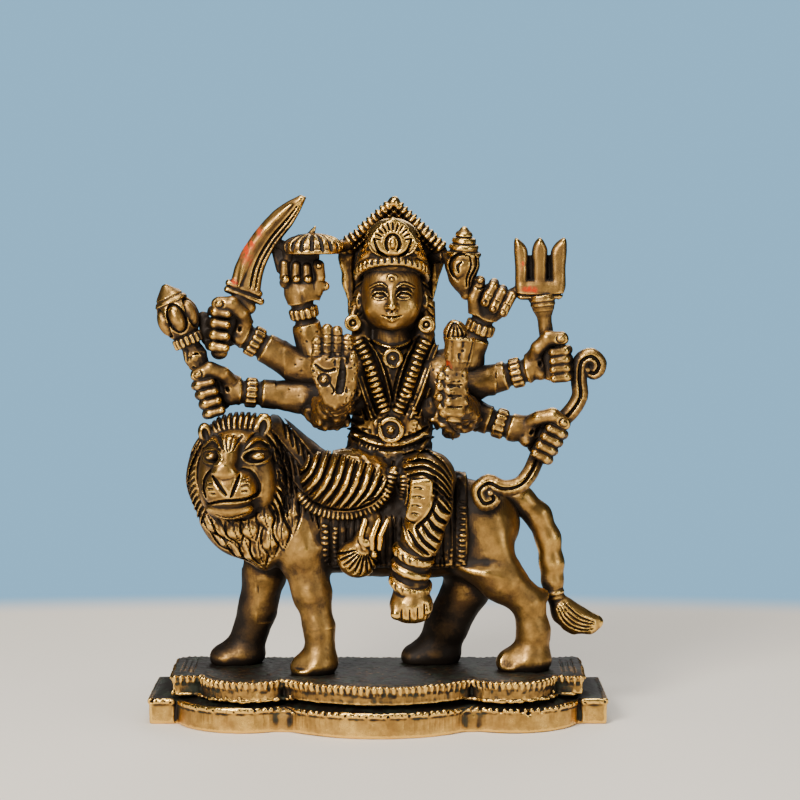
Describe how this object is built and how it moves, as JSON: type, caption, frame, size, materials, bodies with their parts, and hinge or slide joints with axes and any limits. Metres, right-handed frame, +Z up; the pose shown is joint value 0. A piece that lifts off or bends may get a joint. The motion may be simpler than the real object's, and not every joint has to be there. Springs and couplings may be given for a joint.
{
  "type": "hindu deity statue",
  "caption": "Small cast brass statuette of a many-armed goddess riding a standing lion, on a lobed two-tier plinth, for a shelf or home shrine.",
  "frame": {"origin": "centre of the plinth's underside", "axes": "+Z up, +X to the viewer's right along the plinth, -Y towards the viewer, the way both faces look"},
  "size_m": [0.104, 0.0425, 0.1186],
  "materials": {
    "plinth_brass": "cast and filed, darkened in the hollows",
    "lion_brass": "cast and filed, darkened in the hollows",
    "figure_brass": "cast and chased, dark patina in the hollows",
    "arm_brass": "cast and filed, dark patina in the hollows",
    "attribute_brass": "polished cast brass",
    "pin_brass": "drawn wire, peened"
  },
  "bodies": {
    "root": {"base_lower_tier": "plinth_brass", "base_upper_tier": "plinth_brass", "foot_pins": "pin_brass", "seat_pin": "pin_brass", "lion_body": "lion_brass", "lion_tail": "lion_brass", "saddle_cloth": "lion_brass", "goddess_body": "figure_brass", "goddess_head": "figure_brass", "crown": "figure_brass", "halo_plate": "figure_brass", "earrings": "figure_brass", "arm_mace": "arm_brass", "arm_sword": "arm_brass", "arm_discus": "arm_brass", "arm_bow": "arm_brass", "arm_trident": "arm_brass", "arm_conch": "arm_brass", "arm_blessing": "arm_brass", "arm_lotus": "arm_brass", "mace": "attribute_brass", "sword": "attribute_brass", "discus": "attribute_brass", "conch": "attribute_brass", "trident": "attribute_brass", "bow": "attribute_brass", "lotus_club": "attribute_brass"}
  },
  "joints": []
}
